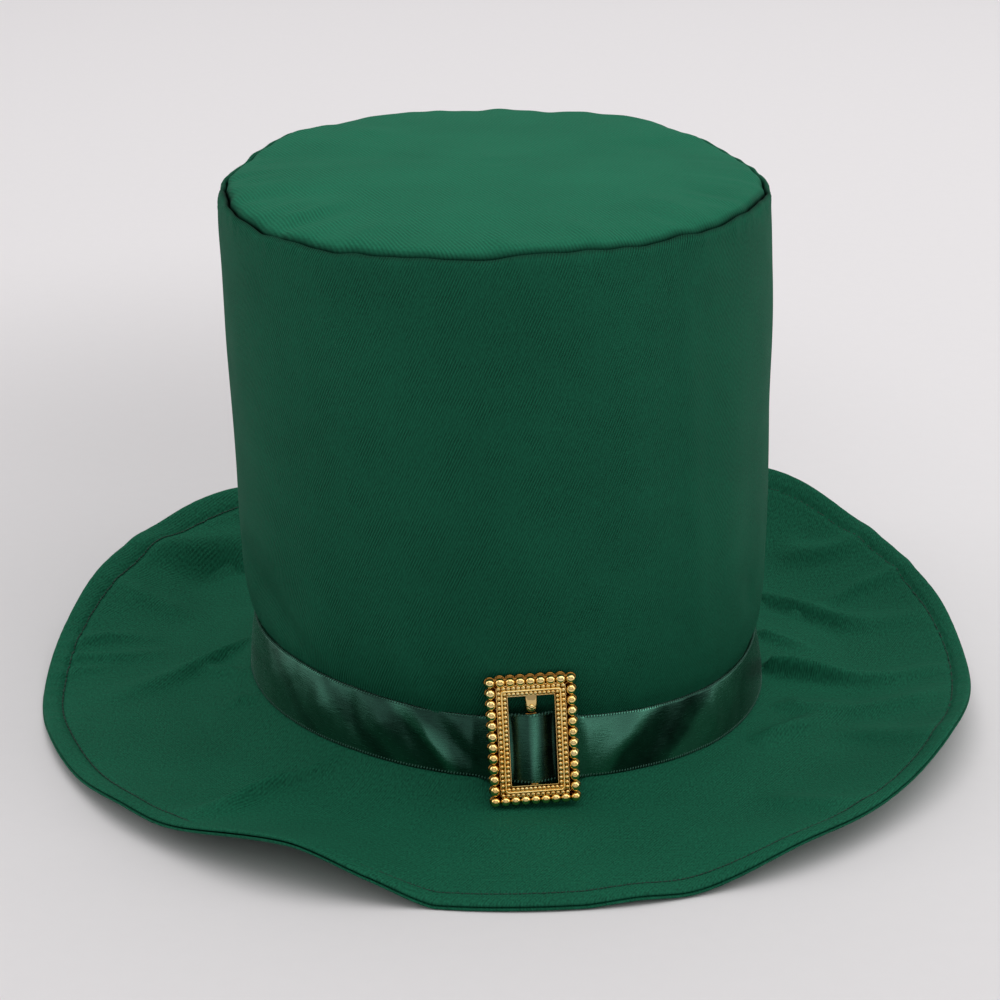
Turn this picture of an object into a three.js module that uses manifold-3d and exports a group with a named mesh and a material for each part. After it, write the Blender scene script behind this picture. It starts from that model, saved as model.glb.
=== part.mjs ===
// A leprechaun's tall top hat in green twill, standing on its own floppy brim.
// Millimetres, +Z up. The hat faces -Y and its brim rests on z = 0.
import * as THREE from 'three';
import { mergeVertices } from 'three/addons/utils/BufferGeometryUtils.js';
import Module from 'manifold-3d';

const wasm = await Module();
wasm.setup();

// Cloth and seams
const crownWall = 1.2;
const brimWall = 1.0;
const ribbonWall = 1.0;
const seamGap = 0.3;
const columns = 64;

// Crown: the seam it grows from, and how far its top leans to the left
const footHeight = 6;
const brimStack = 2 * brimWall + seamGap;
const crownFoot = footHeight + brimStack + seamGap;
const axisAtTable = 0.6;
const leanPerHeight = -0.028;

// Ribbon round the foot of the crown
const ribbonTop = 31;
const ribbonPinch = 89;

// The crown's side from its foot to the seam of the tip
const sideProfile = [
  { height: crownFoot, radius: 91.7 },
  { height: 20, radius: 90.4 },
  { height: ribbonTop, radius: ribbonPinch },
  { height: 35, radius: 90.6 },
  { height: 43, radius: 92.2 },
  { height: 62, radius: 93.2 },
  { height: 90, radius: 93.7 },
  { height: 125, radius: 93.7 },
  { height: 160, radius: 93.5 },
  { height: 180, radius: 93.3 },
  { height: 184.4, radius: 92.9 },
  { height: 186.5, radius: 92 },
  { height: 186.6, radius: 91 },
];

// The inside of the rolled shoulder, where the side turns in to the seam
const shoulderInside = [
  { height: 185.4, radius: 91 },
  { height: 184.2, radius: 91.7 },
  { height: 180, radius: 92.1 },
];

// The tip: a disc whose rim dips into the seam and whose middle is a little puffed
const tipProfile = [
  { height: 185.2, radius: 90.7 },
  { height: 186.6, radius: 90.7 },
  { height: 187.8, radius: 89.8 },
  { height: 188.8, radius: 87.5 },
  { height: 189.8, radius: 80 },
  { height: 191, radius: 62 },
  { height: 191.8, radius: 36 },
];
const tipMiddle = 192.2;
const shoulderHeight = 180;

// How far the seam at the foot, the ribbon's upper edge and the seam of the tip wander up
const seamWaves = [
  { angle: -180, foot: 1.3, ribbon: -0.4, tip: -1.6 },
  { angle: -150, foot: 1.8, ribbon: 2, tip: -3 },
  { angle: -125, foot: 1.6, ribbon: 1, tip: -3.6 },
  { angle: -105, foot: 0.3, ribbon: -1.2, tip: -2 },
  { angle: -80, foot: -1.3, ribbon: -2.6, tip: -0.3 },
  { angle: -56, foot: -3.2, ribbon: -5.2, tip: 0 },
  { angle: -32, foot: -4.6, ribbon: -6.6, tip: 0 },
  { angle: 0, foot: -4.4, ribbon: -5.6, tip: -1.2 },
  { angle: 20, foot: -3.8, ribbon: -5, tip: -1.6 },
  { angle: 50, foot: -2.4, ribbon: -4.2, tip: 2.2 },
  { angle: 90, foot: -1, ribbon: -2.8, tip: 1.4 },
  { angle: 130, foot: 0.3, ribbon: -1.6, tip: 1.6 },
  { angle: 148, foot: 0.8, ribbon: -1, tip: 0.8 },
  { angle: 165, foot: 1.1, ribbon: -0.6, tip: -2.4 },
];

// Soft hollows and swellings of the crown's side, with depth as the cloth's move outward
const crownDents = [
  { angle: -150, height: 52, halfAngle: 20, halfHeight: 22, depth: -2 },
  { angle: -172, height: 98, halfAngle: 24, halfHeight: 40, depth: -0.6 },
  { angle: -118, height: 74, halfAngle: 16, halfHeight: 34, depth: -0.8 },
  { angle: -62, height: 66, halfAngle: 16, halfHeight: 40, depth: -0.9 },
  { angle: -38, height: 92, halfAngle: 13, halfHeight: 62, depth: 0.9 },
  { angle: -6, height: 146, halfAngle: 30, halfHeight: 36, depth: 0.8 },
  { angle: 60, height: 60, halfAngle: 22, halfHeight: 30, depth: -1.6 },
  { angle: 128, height: 96, halfAngle: 18, halfHeight: 50, depth: 0.9 },
];

// Brim: the edge's reach from the axis and the lift of its underside, a row for each wave.
// Where the lift is zero or less the cloth lies on the table.
const brimInner = 90.5;
const brimFoot = 93.4;
const brimEdge = [
  { angle: -173, reach: 167, lift: -0.5 },
  { angle: -160, reach: 166.8, lift: 2.8 },
  { angle: -149, reach: 167, lift: 3.4 },
  { angle: -139, reach: 167, lift: 7 },
  { angle: -131, reach: 166.5, lift: 7.6 },
  { angle: -115, reach: 165.5, lift: 15.5 },
  { angle: -105, reach: 164.5, lift: 7.4 },
  { angle: -97, reach: 163.5, lift: -0.5 },
  { angle: -84, reach: 163.5, lift: -0.5 },
  { angle: -76, reach: 164, lift: 1.4 },
  { angle: -69, reach: 164.5, lift: 0.8 },
  { angle: -56, reach: 165.5, lift: 8.6 },
  { angle: -43, reach: 166, lift: 10 },
  { angle: -26, reach: 166.5, lift: 15.5 },
  { angle: -2, reach: 165.3, lift: 10.5 },
  { angle: 12, reach: 165.5, lift: 15.6 },
  { angle: 34, reach: 166, lift: 23.6 },
  { angle: 45, reach: 166, lift: 30 },
  { angle: 53, reach: 166, lift: 29.6 },
  { angle: 68, reach: 166, lift: 17 },
  { angle: 84, reach: 166, lift: -0.5 },
  { angle: 98, reach: 166, lift: -0.5 },
  { angle: 114, reach: 166, lift: 13 },
  { angle: 133, reach: 166, lift: 23 },
  { angle: 148, reach: 166, lift: 20 },
  { angle: 160, reach: 166.5, lift: 16 },
  { angle: 172, reach: 166.8, lift: 7 },
];

// The foot of the brim falls from the crown's seam to the table over this width.
const brimFall = [
  { angle: -180, width: 24 },
  { angle: -122, width: 22 },
  { angle: -85, width: 15 },
  { angle: -50, width: 22 },
  { angle: 0, width: 24 },
  { angle: 90, width: 24 },
];
const brimRestWidth = 8;
const brimCurl = 1.6;
const brimShares = [0.09, 0.18, 0.28, 0.42, 0.57, 0.72, 0.87, 1];

// Buckle: a moulded frame with a row of large beads on its rim and a bar up the middle
const bead = 3.2;
const beadsAcross = 9;
const beadsUp = 12;
const beadSpanAcross = 26.3;
const beadSpanUp = 39.8;
const windowWidth = 15.2;
const windowHeight = 30;
const plateMargin = 0.5;
const plateDepth = 1.5;
const ridgeRise = 1.1;
const ridgeInset = 1.9;
const barWidth = 4;
const barFront = 0.1;
const barBack = -1.1;
const barFoot = 3;
const beadLift = 1.8;
const buckleAngle = -84.9;
const buckleDistance = 97.6;
const buckleHeight = 25;
const buckleLean = 12;
const buckleTurn = 1.9;

// The ribbon leaves the crown beside the buckle, goes behind its sides and over its bar.
const ribbonOnBar = barFront + seamGap;
const ribbonBehind = -1.5;
const ribbonBarHalf = 2.3;
const ribbonSideHalf = 7.3;
const ribbonLeave = 21;
const ribbonBarLow = -13.8;
const ribbonBarHigh = 9;

// Columns of the ribbon near the buckle, in degrees from it, and where the even ones go on
const ribbonCloseSteps = [-13.5, -11, -8.6, -6.4, -4.4, -2.9, -1.3, 1.3, 2.9, 4.4, 6.4, 8.6, 11, 13.5];
const ribbonEvenFrom = 16.2;

const twill = new THREE.MeshStandardMaterial({ color: 0x1b5a41, roughness: 0.85 });
const satin = new THREE.MeshStandardMaterial({ color: 0x12382c, roughness: 0.35 });
const gold = new THREE.MeshStandardMaterial({ color: 0xd2a13c, roughness: 0.2, metalness: 1 });

const degrees = (value) => THREE.MathUtils.degToRad(value);
const evenAngles = Array.from({ length: columns }, (_, index) => -180 + (360 * index) / columns);
const axisAt = (height) => axisAtTable + leanPerHeight * height;

// Smooth value of one column of a table whose rows go once round the hat
function around(table, column, angle) {
  const count = table.length;
  const turned = (index) => 360 * Math.floor(index / count);
  const row = (index) => table[((index % count) + count) % count];
  const at = (index) => row(index).angle + turned(index);
  const value = (index) => row(index)[column];
  const slope = (index) => (value(index + 1) - value(index - 1)) / (at(index + 1) - at(index - 1));
  let start = -1;
  while (at(start + 1) <= angle) start += 1;
  const span = at(start + 1) - at(start);
  const t = (angle - at(start)) / span;
  const rise = t * t * (3 - 2 * t);
  const leaving = t * (1 - t) * (1 - t) * span * slope(start);
  const arriving = t * t * (1 - t) * span * slope(start + 1);
  return value(start) + (value(start + 1) - value(start)) * rise + leaving - arriving;
}

// A rounded bump that is 1 in its middle and 0 from its half width on
function bump(distance, half) {
  const share = Math.min(1, Math.abs(distance) / half);
  return (1 - share * share) ** 2;
}

function angleBetween(first, second) {
  return ((first - second + 540) % 360) - 180;
}

function dentAt(angle, height) {
  let move = 0;
  for (const dent of crownDents) {
    const beside = bump(angleBetween(angle, dent.angle), dent.halfAngle);
    move += dent.depth * beside * bump(height - dent.height, dent.halfHeight);
  }
  return move;
}

// The wander of the cloth at a height, shared out between the seams above and below it
function waveAt(angle, height) {
  const atRibbon = around(seamWaves, 'ribbon', angle);
  if (height < ribbonTop) {
    const share = (height - crownFoot) / (ribbonTop - crownFoot);
    return THREE.MathUtils.lerp(around(seamWaves, 'foot', angle), atRibbon, share);
  }
  const share = Math.min(1, (height - ribbonTop) / (shoulderHeight - ribbonTop));
  return THREE.MathUtils.lerp(atRibbon, around(seamWaves, 'tip', angle), share);
}

function crownPoint(angle, radius, height, follow = 1) {
  const reach = radius + dentAt(angle, height);
  const x = axisAt(height) + reach * Math.cos(degrees(angle));
  const z = height + follow * waveAt(angle, height);
  return new THREE.Vector3(x, reach * Math.sin(degrees(angle)), z);
}

function crownRing(radius, height) {
  return evenAngles.map((angle) => crownPoint(angle, radius, height));
}

// The tip follows its seam at the rim and less and less towards its middle.
function tipRing(radius, height) {
  const follow = (radius / tipProfile[0].radius) ** 2;
  return evenAngles.map((angle) => crownPoint(angle, radius, height, follow));
}

// The underside of the brim at one angle, from the crown's seam out to the edge
function brimSection(angle) {
  const reach = around(brimEdge, 'reach', angle);
  const lift = Math.max(0, around(brimEdge, 'lift', angle));
  const fall = around(brimFall, 'width', angle);
  const rest = fall + brimRestWidth;
  const width = reach - brimFoot;
  const seam = footHeight + around(seamWaves, 'foot', angle);
  const section = [{ radius: brimInner, height: seam }, { radius: brimFoot, height: seam }];
  for (const share of brimShares) {
    const out = share * width;
    const foot = seam * Math.max(0, 1 - out / fall) ** 2;
    const curl = lift * (Math.max(0, out - rest) / (width - rest)) ** brimCurl;
    section.push({ radius: brimFoot + out, height: foot + curl });
  }
  return section;
}

function brimRings(raise) {
  const sections = evenAngles.map(brimSection);
  return sections[0].map((_, row) => sections.map((section, column) => {
    const { radius, height } = section[row];
    const angle = degrees(evenAngles[column]);
    const x = axisAtTable + radius * Math.cos(angle);
    return new THREE.Vector3(x, radius * Math.sin(angle), height + raise);
  }));
}

// Triangles between each ring and the next. On the way back from the turn the squares are
// cut along their other diagonal, so that the two faces of a wall stay parallel.
function bandFaces(rings, faces, steps, turn) {
  const size = rings[0].length;
  for (let ring = 0; ring < steps; ring += 1) {
    const here = ring * size;
    const above = ((ring + 1) % rings.length) * size;
    for (let column = 0; column < size; column += 1) {
      const next = (column + 1) % size;
      const lastOfFirst = ring < turn ? above + next : above + column;
      const firstOfLast = ring < turn ? here + column : here + next;
      faces.push(here + column, here + next, lastOfFirst);
      faces.push(firstOfLast, above + next, above + column);
    }
  }
}

function toGeometry(points, faces) {
  const geometry = new THREE.BufferGeometry().setFromPoints(points);
  geometry.setIndex(faces);
  geometry.computeVertexNormals();
  return geometry;
}

// A closed wall: rings along one face and back along the other, the last joined to the first
function wallGeometry(there, back) {
  const faces = [];
  const rings = [...there, ...back];
  bandFaces(rings, faces, rings.length, there.length);
  return toGeometry(rings.flat(), faces);
}

// A closed disc: rings from below its middle round the rim to above its middle
function discGeometry(below, rings, above) {
  const faces = [];
  bandFaces(rings, faces, rings.length - 1, rings.length);
  const size = rings[0].length;
  const lowest = rings.length * size;
  const highest = lowest + 1;
  const lastRing = (rings.length - 1) * size;
  for (let column = 0; column < size; column += 1) {
    const next = (column + 1) % size;
    faces.push(lowest, next, column);
    faces.push(highest, lastRing + column, lastRing + next);
  }
  return toGeometry([...rings.flat(), below, above], faces);
}

function named(name, geometry, material) {
  const mesh = new THREE.Mesh(geometry, material);
  mesh.name = name;
  return mesh;
}

function makeCrownSide() {
  const outside = sideProfile.map(({ radius, height }) => crownRing(radius, height));
  const shoulder = shoulderInside.map(({ radius, height }) => crownRing(radius, height));
  const below = sideProfile.filter(({ height }) => height < shoulderInside.at(-1).height);
  const inside = below.reverse().map(({ radius, height }) => crownRing(radius - crownWall, height));
  return named('crown_side', wallGeometry(outside, [...shoulder, ...inside]), twill);
}

function makeCrownTip() {
  const top = tipProfile.map(({ radius, height }) => tipRing(radius, height));
  const inner = tipProfile.slice(2).reverse();
  const under = inner.map(({ radius, height }) => tipRing(radius - crownWall / 2, height - crownWall));
  const rim = tipRing(tipProfile[0].radius - crownWall, tipProfile[0].height);
  const below = new THREE.Vector3(axisAt(tipMiddle), 0, tipMiddle - crownWall);
  const above = new THREE.Vector3(axisAt(tipMiddle), 0, tipMiddle);
  return named('crown_tip', discGeometry(below, [...under, rim, ...top], above), twill);
}

function makeBrimLayer(name, raise) {
  const underside = brimRings(raise);
  const topside = brimRings(raise + brimWall).reverse();
  return named(name, wallGeometry(underside, topside), twill);
}

// The buckle's own axes: across, up its face, and out of its face
function buckleMatrix() {
  const angle = degrees(buckleAngle);
  const out = new THREE.Vector3(Math.cos(angle), Math.sin(angle), 0);
  const across = new THREE.Vector3(-Math.sin(angle), Math.cos(angle), 0);
  const place = out.clone().multiplyScalar(buckleDistance);
  place.x += axisAt(buckleHeight);
  place.z = buckleHeight;
  const up = new THREE.Vector3(0, 0, 1);
  const lean = new THREE.Quaternion().setFromAxisAngle(across, degrees(-buckleLean));
  out.applyQuaternion(lean);
  up.applyQuaternion(lean);
  const turn = new THREE.Quaternion().setFromAxisAngle(out, degrees(buckleTurn));
  across.applyQuaternion(turn);
  up.applyQuaternion(turn);
  return new THREE.Matrix4().makeBasis(across, up, out).setPosition(place);
}

// How far in front of the buckle's back plane the ribbon's back lies
function ribbonDepth(across) {
  const share = THREE.MathUtils.smoothstep(Math.abs(across), ribbonBarHalf, ribbonSideHalf);
  return THREE.MathUtils.lerp(ribbonOnBar, ribbonBehind - ribbonWall, share);
}

function makeRibbon(toHat) {
  const close = ribbonCloseSteps.map((step) => buckleAngle + step);
  const far = evenAngles.filter((angle) => Math.abs(angle - buckleAngle) > ribbonEvenFrom);
  const angles = [...far, ...close].sort((first, second) => first - second);
  const rows = [0, 1, 2];
  const ring = (row, raise) => angles.map((angle) => {
    const { height, radius } = sideProfile[row];
    const onCrown = crownPoint(angle, radius + seamGap + raise, height);
    const across = degrees(angle - buckleAngle) * buckleDistance;
    const up = THREE.MathUtils.lerp(ribbonBarLow, ribbonBarHigh, row / 2);
    const onBuckle = new THREE.Vector3(across, up, ribbonDepth(across) + raise).applyMatrix4(toHat);
    const pull = 1 - THREE.MathUtils.smoothstep(Math.abs(across), ribbonSideHalf, ribbonLeave);
    return onCrown.lerp(onBuckle, pull);
  });
  const outside = rows.map((row) => ring(row, ribbonWall));
  const inside = rows.map((row) => ring(row, 0)).reverse();
  return named('band_ribbon', wallGeometry(outside, inside), satin);
}

function rectangle(width, height) {
  const shape = new THREE.Shape();
  shape.moveTo(-width / 2, -height / 2);
  shape.lineTo(width / 2, -height / 2);
  shape.lineTo(width / 2, height / 2);
  shape.lineTo(-width / 2, height / 2);
  shape.closePath();
  return shape;
}

function frameGeometry(width, height, from, to) {
  const shape = rectangle(width, height);
  shape.holes.push(rectangle(windowWidth, windowHeight));
  const geometry = new THREE.ExtrudeGeometry(shape, { depth: to - from, bevelEnabled: false });
  return geometry.translate(0, 0, from);
}

function toSolid(geometry) {
  const bare = geometry.clone();
  bare.deleteAttribute('normal');
  bare.deleteAttribute('uv');
  const merged = mergeVertices(bare);
  const vertProperties = new Float32Array(merged.attributes.position.array);
  const triVerts = new Uint32Array(merged.index.array);
  return new wasm.Manifold(new wasm.Mesh({ numProp: 3, vertProperties, triVerts }));
}

function fromSolid(solid) {
  const { vertProperties, triVerts } = solid.getMesh();
  const geometry = new THREE.BufferGeometry();
  geometry.setAttribute('position', new THREE.BufferAttribute(new Float32Array(vertProperties), 3));
  geometry.setIndex(new THREE.BufferAttribute(new Uint32Array(triVerts), 1));
  geometry.computeVertexNormals();
  return geometry;
}

function beadCentres() {
  const centres = [];
  for (let column = 0; column < beadsAcross; column += 1) {
    for (let row = 0; row < beadsUp; row += 1) {
      const onSide = column === 0 || column === beadsAcross - 1;
      const onEnd = row === 0 || row === beadsUp - 1;
      if (!onSide && !onEnd) continue;
      const across = (column / (beadsAcross - 1) - 0.5) * beadSpanAcross;
      const up = (row / (beadsUp - 1) - 0.5) * beadSpanUp;
      centres.push([across, up]);
    }
  }
  return centres;
}

function makeBuckle(toHat) {
  const plateWidth = beadSpanAcross + 2 * plateMargin;
  const plateHeight = beadSpanUp + 2 * plateMargin;
  const ridgeWidth = beadSpanAcross - bead / 2 - ridgeInset;
  const ridgeHeight = beadSpanUp - bead / 2 - ridgeInset;
  const bar = new THREE.BoxGeometry(barWidth, windowHeight + 2 * barFoot, barFront - barBack);
  bar.translate(0, 0, (barFront + barBack) / 2);
  const foot = new THREE.BoxGeometry(barWidth, barFoot, plateDepth / 2 - barBack);
  foot.translate(0, 0, (plateDepth / 2 + barBack) / 2);
  let solid = toSolid(frameGeometry(plateWidth, plateHeight, 0, plateDepth));
  solid = solid.add(toSolid(frameGeometry(ridgeWidth, ridgeHeight, plateDepth / 2, plateDepth + ridgeRise)));
  solid = solid.add(toSolid(bar));
  for (const end of [-1, 1]) {
    const root = foot.clone().translate(0, end * (windowHeight + barFoot) / 2, 0);
    solid = solid.add(toSolid(root));
  }
  const ball = new THREE.OctahedronGeometry(bead / 2, 1);
  for (const [across, up] of beadCentres()) {
    solid = solid.add(toSolid(ball.clone().translate(across, up, beadLift)));
  }
  const mesh = named('buckle', fromSolid(solid), gold);
  mesh.applyMatrix4(toHat);
  return mesh;
}

const toHat = buckleMatrix();
const hat = new THREE.Group();
hat.add(makeCrownTip());
hat.add(makeCrownSide());
hat.add(makeBrimLayer('brim_upper', brimWall + seamGap));
hat.add(makeBrimLayer('brim_under', 0));
hat.add(makeRibbon(toHat));
hat.add(makeBuckle(toHat));

export default hat;
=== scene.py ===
# Looks of a leprechaun's tall green top hat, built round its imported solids.
# Tables are in millimetres and degrees; meshes are in metres, +Z up, the hat facing -Y.
import math

import bmesh
import bpy
import numpy as np
from mathutils import Matrix, Vector


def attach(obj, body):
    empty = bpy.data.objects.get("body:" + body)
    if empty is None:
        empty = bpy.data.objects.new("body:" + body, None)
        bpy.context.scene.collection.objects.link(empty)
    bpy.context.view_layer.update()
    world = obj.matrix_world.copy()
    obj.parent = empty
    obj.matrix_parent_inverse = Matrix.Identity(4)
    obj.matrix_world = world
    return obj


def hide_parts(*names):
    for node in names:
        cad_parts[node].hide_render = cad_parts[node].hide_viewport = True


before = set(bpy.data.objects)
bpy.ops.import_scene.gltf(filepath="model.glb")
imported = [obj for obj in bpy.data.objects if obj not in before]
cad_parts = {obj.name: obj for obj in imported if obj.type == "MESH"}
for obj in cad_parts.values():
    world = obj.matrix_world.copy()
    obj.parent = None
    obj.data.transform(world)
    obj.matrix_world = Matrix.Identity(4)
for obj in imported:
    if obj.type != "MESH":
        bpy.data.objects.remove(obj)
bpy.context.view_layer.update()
random = np.random.default_rng(11)

MM = 0.001


def rows(names, *values):
    """A short table with named columns."""
    return {name: np.array(column, float) for name, column in zip(names.split(), zip(*values))}


# The hat's own sizes, as the solids have them
CLOTH = 1.0
CROWN_WALL = 1.2
SEAM_GAP = 0.3
STACK = 2.3  # the brim's two layers with the gap between them
FOOT_HEIGHT = 6  # the brim's underside where it meets the crown
CROWN_FOOT = FOOT_HEIGHT + STACK + SEAM_GAP
AXIS_AT_TABLE = 0.6  # x of the crown's axis at the table, and its lean for each millimetre up
LEAN = -0.028
RIBBON_TOP = 31
RIBBON_HEIGHT = RIBBON_TOP - CROWN_FOOT
RIBBON_WIDTH = 22.0
SHOULDER = 180
TIP_TOP = 192.1
BRIM_INNER = 90.5
BRIM_FOOT = 93.4
BRIM_REST = 8  # what lies flat beyond the brim's fall, and how its edge curls up
BRIM_CURL = 1.6
BRIM_REACH = 166.0

# Millimetres along the cloth for each degree round the crown
SIDE_PER_DEGREE = math.pi / 180 * 93
RIBBON_PER_DEGREE = math.pi / 180 * 92

SIDE_PROFILE = rows(
    "height radius",
    (8.6, 91.7), (20, 90.4), (31, 89), (35, 90.6), (43, 92.2), (62, 93.2), (90, 93.7),
    (125, 93.7), (160, 93.5), (180, 93.3), (184.2, 93), (186, 92.5), (186.8, 91.9),
)
TIP_PROFILE = rows(
    "height radius",
    (185.3, 90.5), (186.4, 90.3), (187.5, 89.6), (188.6, 87.8), (189.3, 84), (189.9, 78),
    (190.5, 70), (191, 60), (191.5, 45), (191.8, 32), (192, 18), (192.1, 6),
)
SEAM_WAVES = rows(
    "angle foot ribbon tip",
    (-180, 1.3, -0.4, -1.6), (-150, 1.8, 2, -3), (-125, 1.6, 1, -3.6), (-105, 0.3, -1.2, -2),
    (-80, -1.3, -2.6, -0.3), (-56, -3.2, -5.2, 0), (-32, -4.6, -6.6, 0), (0, -4.4, -5.6, -1.2),
    (20, -3.8, -5, -1.6), (50, -2.4, -4.2, 2.2), (90, -1, -2.8, 1.4), (130, 0.3, -1.6, 1.6),
    (148, 0.8, -1, 0.8), (165, 1.1, -0.6, -2.4),
)
CROWN_DENTS = (
    (-150, 52, 20, 22, -2), (-172, 98, 24, 40, -0.6), (-118, 74, 16, 34, -0.8),
    (-62, 66, 16, 40, -0.9), (-38, 92, 13, 62, 0.9), (-6, 146, 30, 36, 0.8),
    (60, 60, 22, 30, -1.6), (128, 96, 18, 50, 0.9),
)
BRIM_EDGE = rows(
    "angle reach lift",
    (-173, 167, -0.5), (-160, 166.8, 2.8), (-149, 167, 3.4), (-139, 167, 7), (-131, 166.5, 7.6),
    (-115, 165.5, 15.5), (-105, 164.5, 7.4), (-97, 163.5, -0.5), (-84, 163.5, -0.5),
    (-76, 164, 1.4), (-69, 164.5, 0.8), (-56, 165.5, 8.6), (-43, 166, 10), (-26, 166.5, 15.5),
    (-2, 165.3, 10.5), (12, 165.5, 15.6), (34, 166, 23.6), (45, 166, 30), (53, 166, 29.6),
    (68, 166, 17), (84, 166, -0.5), (98, 166, -0.5), (114, 166, 13), (133, 166, 23),
    (148, 166, 20), (160, 166.5, 16), (172, 166.8, 7),
)
BRIM_FALL = rows(
    "angle width",
    (-180, 24), (-122, 22), (-85, 15), (-50, 22), (0, 24), (90, 24),
)

# Soft ridges and troughs of the brim on the plan, as creased() reads them
BRIM_CREASES = (
    ((88, 72, 0, 5), (101, 63, 2.6, 4, 3), (112, 54, 3.4, 4, 3), (126, 41, 3, 5, 3.4), (138, 34, 1.6, 6),
     (151, 29, 0.8, 5), (160, 26, 0, 5)),
    ((92, 56, 0, 4), (100, 50, -1.6, 4), (110, 42, -2, 4), (119, 28, -1.4, 5), (122, 14, 0, 5)),
    ((88, 2, 0, 3), (95, -2, 4, 5, 2), (104, -4, 5, 5, 2), (113, -6, 4.6, 5, 2.2),
     (124, -9, 3.4, 6, 3), (136, -10, 2.4, 6, 4), (150, -10, 1.4, 6, 4), (160, -11, 0, 5)),
    ((94, -30, 0, 4), (103, -29, 2, 5, 5), (113, -30, 1.8, 6, 5), (124, -32, 1.6, 6, 5),
     (144, -32, 1.8, 6), (158, -27, 0, 6)),
    ((84, -58, 0, 4), (93, -52, 2.4, 4, 3), (101, -46, 2.6, 4, 3), (110, -38, 1.2, 5), (118, -33, 0, 5)),
    ((106, 97, 0, 5), (116, 89, 1.8, 4), (126, 84, 2, 4, 3), (138, 83, 1, 5), (148, 82, 0, 5)),
    ((114, 54, 0, 5), (124, 56, 1.6, 4), (137, 58, 2.2, 4, 3), (150, 59, 1, 4), (158, 60, 0, 4)),
    ((114, -44, 0, 6), (127, -55, 1.8, 7, 5), (140, -67, 1.4, 7), (150, -76, 0, 6)),
    ((82, -94, 0, 6), (93, -101, 1.4, 6), (106, -108, 1.5, 6), (120, -108, 0, 6)),
    ((92, 32, 0, 3), (98, 28, 2.4, 3), (108, 23, 1.8, 4), (118, 17, 0, 4)),
    ((-164, 10, 0, 3), (-157, 15, 1.4, 3, 2.4), (-148, 20, 1.8, 3, 2.4), (-136, 24, 0.8, 4),
     (-126, 26, 0, 4)),
    ((-165, 2, 0, 3), (-157, 5, 1.4, 2.6, 2), (-144, 7, 1.4, 3, 2.4), (-130, 12, 0.8, 4),
     (-120, 18, 0, 4)),
    ((-165, -8, 0, 3), (-157, -4, 1.1, 2.4), (-150, -2, 0.9, 2.6), (-140, 2, 0, 3)),
    ((-144, -26, 0, 6), (-130, -15, 1.6, 6, 5), (-120, -7, 2.2, 5, 4), (-112, 1, 2.8, 4, 3),
     (-104, 6, 3, 4, 2.4), (-98, 12, 1.8, 3), (-92, 20, 0, 3)),
    ((-112, 0, 0, 2.4), (-107, -3, 1.4, 2.6), (-101, -9, 2, 2.4), (-94, -16, 0.8, 3), (-90, -20, 0, 3)),
    ((-99, -30, 0, 2.4), (-94, -33, 1.6, 2.4), (-86, -37, 0, 2.4)),
    ((-54, -78, 0, 4), (-64, -82, 1.6, 3), (-76, -87, 2.6, 3, 2.4), (-85, -96, 3, 3.4, 2.6),
     (-91, -106, 2.6, 4, 3), (-100, -114, 1.2, 5), (-112, -119, 0, 6)),
    ((-148, 72, 0, 6), (-134, 80, 2.8, 6), (-121, 88, 3.6, 6), (-108, 97, 2.6, 7), (-96, 110, 0, 8)),
    ((-130, 66, 0, 9), (-120, 76, -2.6, 9), (-111, 84, -4.6, 9), (-104, 80, -4.6, 8), (-98, 68, -2, 8),
     (-98, 54, 0, 8)),
    ((-152, 54, 0, 6), (-140, 51, 1.8, 6), (-126, 48, 1.8, 6), (-112, 46, 0, 6)),
    ((-66, 84, 0, 4), (-72, 94, 2.6, 4), (-82, 106, 2.2, 5), (-92, 124, 0, 6)),
    ((-30, 92, 0, 3), (-34, 104, 2.6, 3.4), (-36, 116, 2.2, 4), (-42, 130, 1, 5), (-46, 142, 0, 5)),
    ((8, 90, 0, 4), (10, 104, 2, 4), (6, 118, 1.6, 5), (9, 138, 0, 6)),
    ((42, 82, 0, 3), (50, 93, 3, 3.4), (54, 106, 2.6, 4), (62, 120, 1, 5), (68, 134, 0, 5)),
    ((68, 64, 0, 4), (80, 76, 2.2, 4), (88, 90, 1.8, 5), (98, 106, 0, 6)),
    ((-18, 150, 0, 4), (-12, 156, 0.9, 3), (-10, 163, 0, 3)),
    ((60, 144, 0, 4), (66, 148, 1, 3), (70, 153, 0, 3)),
    ((-30, -114, 0, 9), (-4, -120, 1, 9), (24, -116, 1, 9), (44, -110, 0, 9)),
)

# All the brim's creases are deepened by this
FOLD_DEPTH = 1.55

# How strongly the hem puckers round the brim
HEM_PUCKER = rows(
    "angle amount",
    (-180, 1), (-168, 0.7), (-150, 0.25), (-120, 0.15), (-70, 0.15), (-30, 0.4), (-8, 1),
    (6, 0.8), (30, 0.5), (75, 0.6), (110, 0.7), (150, 0.5), (168, 1),
)

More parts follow.
